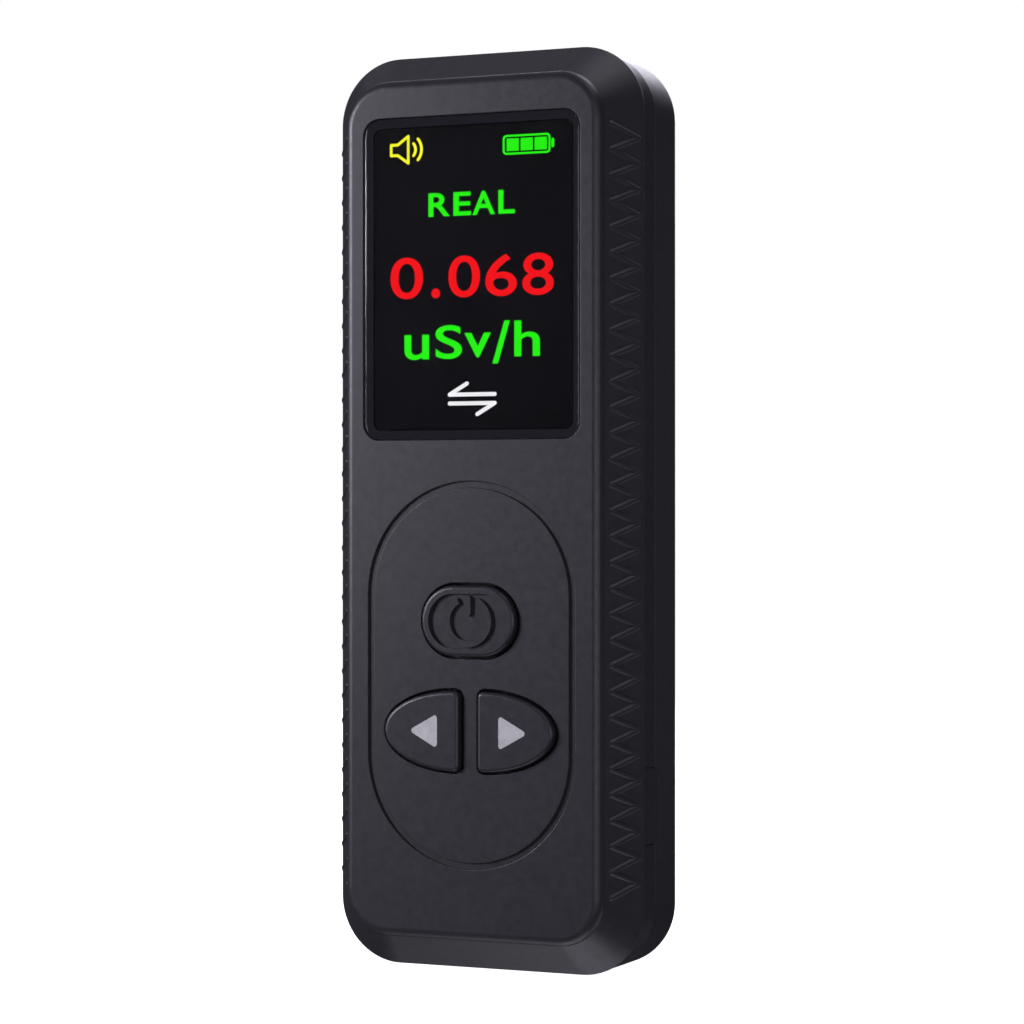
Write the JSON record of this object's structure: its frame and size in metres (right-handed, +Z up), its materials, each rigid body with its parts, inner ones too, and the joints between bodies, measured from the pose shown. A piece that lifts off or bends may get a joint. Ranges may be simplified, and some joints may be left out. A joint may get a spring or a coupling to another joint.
{
  "type": "geiger counter",
  "caption": "Slim pocket radiation meter with a colour display, a power key, left and right keys and a covered charging port.",
  "frame": {"origin": "middle of the bounding box at the lower end that the meter stands on", "axes": "+Z up the long axis towards the display end, +X to the right across the face, the face looks along -Y and the back along +Y"},
  "size_m": [0.0428, 0.0198, 0.118],
  "materials": {
    "case_plastic": "fine matte grain, dark grey",
    "key_plastic": "fine matte grain, dark grey",
    "mark_plastic": "smooth light grey",
    "window_glass": "polished, dark tint",
    "adhesive": "black foam adhesive",
    "panel": "black liquid crystal panel",
    "white_plastic": "white moulded frame",
    "foam": "closed cell foam",
    "polyimide": "amber flexible film",
    "connector_plastic": "cream nylon",
    "circuit_board": "green solder mask",
    "chip": "black moulded epoxy",
    "bright_metal": "tin plated",
    "black_steel": "black oxide screw",
    "copper": "enamelled copper winding",
    "ferrite": "sintered ferrite",
    "ceramic_blue": "dipped ceramic",
    "tube_glass": "clear drawn glass",
    "cathode_metal": "thin metal sleeve",
    "silicone": "soft black silicone",
    "pouch": "aluminium laminate pouch",
    "wire_insulation": "red silicone insulation",
    "label_film": "matte grey film, blank"
  },
  "bodies": {
    "case": {"front_shell": "case_plastic", "back_shell": "case_plastic", "case_screws": "black_steel", "display_window": "window_glass", "window_adhesive": "adhesive", "display_panel": "panel", "backlight_frame": "white_plastic", "display_foam": "foam", "display_ribbon": "polyimide", "ribbon_socket": "connector_plastic", "power_switch": "bright_metal", "left_switch": "bright_metal", "right_switch": "bright_metal", "main_board": "circuit_board", "board_screws": "bright_metal", "microcontroller": "chip", "crystal": "bright_metal", "small_chips": "chip", "transformer_core": "ferrite", "transformer_winding": "copper", "high_voltage_capacitors": "ceramic_blue", "geiger_tube_glass": "tube_glass", "geiger_tube_cathode": "cathode_metal", "geiger_tube_anode": "bright_metal", "geiger_tube_end_caps": "bright_metal", "tube_clips": "bright_metal", "tube_cushions": "silicone", "battery_cell": "pouch", "battery_pad": "foam", "battery_leads": "wire_insulation", "battery_plug": "connector_plastic", "battery_socket": "connector_plastic", "buzzer": "chip", "usb_socket_shell": "bright_metal", "usb_socket_tongue": "chip", "cover_tether": "silicone", "rating_label": "label_film"},
    "power_key": {"power_button": "key_plastic", "power_switch_stem": "chip"},
    "left_key": {"left_button": "key_plastic", "left_arrow_inlay": "mark_plastic", "left_switch_stem": "chip"},
    "right_key": {"right_button": "key_plastic", "right_arrow_inlay": "mark_plastic", "right_switch_stem": "chip"},
    "cover": {"port_cover": "silicone"}
  },
  "joints": [
    {"name": "power_press", "type": "slide", "parent": "case", "child": "power_key", "axis": [0, 1, 0], "range_m": [0, 0.0004], "stiffness_N_per_m": 2600, "springref_m": -0.00015},
    {"name": "left_press", "type": "slide", "parent": "case", "child": "left_key", "axis": [0, 1, 0], "range_m": [0, 0.0004], "stiffness_N_per_m": 2600, "springref_m": -0.00015},
    {"name": "right_press", "type": "slide", "parent": "case", "child": "right_key", "axis": [0, 1, 0], "range_m": [0, 0.0004], "stiffness_N_per_m": 2600, "springref_m": -0.00015},
    {"name": "cover_swing", "type": "hinge", "parent": "case", "child": "cover", "pos_m": [0.02107, 0.0022, 0.0215], "axis": [0, 0, 1], "range_deg": [0, 100], "stiffness_Nm_per_rad": 0.0005}
  ]
}
